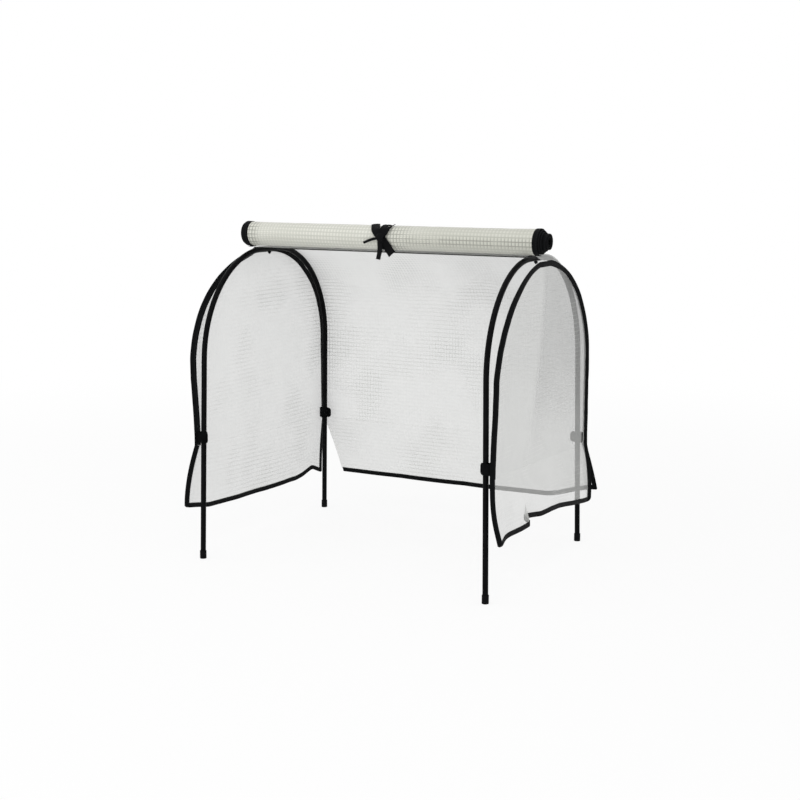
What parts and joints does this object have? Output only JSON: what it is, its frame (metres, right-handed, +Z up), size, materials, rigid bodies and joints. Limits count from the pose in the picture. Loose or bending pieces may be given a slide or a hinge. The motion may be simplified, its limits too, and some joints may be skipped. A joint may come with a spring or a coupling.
{
  "type": "raised planter tunnel cover",
  "caption": "Mesh tunnel cover for a raised planter on black tube hoops, with its front flap rolled up and tied on the ridge.",
  "frame": {"origin": "on the floor, under the middle of the object's box", "axes": "+X along the ridge to the right seen from the open front, +Y to the back, +Z up"},
  "size_m": [1.0417, 0.7946, 0.9976],
  "materials": {
    "frame": "satin black powder coat on steel tube",
    "fasteners": "blackened zinc",
    "caps": "moulded",
    "straps": "hook-and-loop tape",
    "mesh_film": "translucent woven grid mesh",
    "tape": "woven binding tape",
    "ribbon": "woven ribbon"
  },
  "bodies": {
    "cover": {"left_arch_tube": "frame", "right_arch_tube": "frame", "left_front_leg_tube": "frame", "right_front_leg_tube": "frame", "left_back_leg_tube": "frame", "right_back_leg_tube": "frame", "ridge_tube": "frame", "left_ridge_bolt": "fasteners", "right_ridge_bolt": "fasteners", "left_ridge_nut": "fasteners", "right_ridge_nut": "fasteners", "front_left_foot_cap": "caps", "front_right_foot_cap": "caps", "back_left_foot_cap": "caps", "back_right_foot_cap": "caps", "front_left_strap": "straps", "front_right_strap": "straps", "back_left_strap": "straps", "back_right_strap": "straps", "left_end_panel": "mesh_film", "right_end_panel": "mesh_film", "left_edge_tape": "tape", "right_edge_tape": "tape", "roof_and_back_sheet": "mesh_film"},
    "left_skirt_flap": {"left_skirt": "mesh_film", "left_skirt_tape": "tape"},
    "right_skirt_flap": {"right_skirt": "mesh_film", "right_skirt_tape": "tape"},
    "back_skirt_flap": {"back_skirt": "mesh_film", "back_skirt_tape": "tape"},
    "flap_lead": {"front_flap_lead": "mesh_film"},
    "flap_roll": {"front_flap_roll": "mesh_film", "roll_left_tape": "tape", "roll_right_tape": "tape", "tie_loop": "ribbon", "tie_bow": "ribbon"}
  },
  "joints": [
    {"name": "front_flap_wrap", "type": "hinge", "parent": "cover", "child": "flap_lead", "pos_m": [0, -0.05753, 0.5988], "axis": [1, 0, 0], "range_deg": [0, 79]},
    {"name": "front_flap_unroll", "type": "slide", "parent": "flap_lead", "child": "flap_roll", "axis": [0, -0.9925, -0.1219], "range_m": [0, 0.43]},
    {"name": "left_skirt_lift", "type": "hinge", "parent": "cover", "child": "left_skirt_flap", "pos_m": [-0.47685, -0.38312, 0.345], "axis": [0, 0.9989, -0.0468], "range_deg": [0, 120]},
    {"name": "right_skirt_lift", "type": "hinge", "parent": "cover", "child": "right_skirt_flap", "pos_m": [0.47255, -0.38312, 0.345], "axis": [0, -0.9989, 0.0468], "range_deg": [0, 120]},
    {"name": "back_skirt_lift", "type": "hinge", "parent": "cover", "child": "back_skirt_flap", "pos_m": [0, 0.36729, 0.31], "axis": [1, 0, 0], "range_deg": [0, 120]}
  ],
  "couplings": [
    {"joint": "front_flap_unroll", "follows": "front_flap_wrap", "m_per_rad": 0.3119}
  ]
}
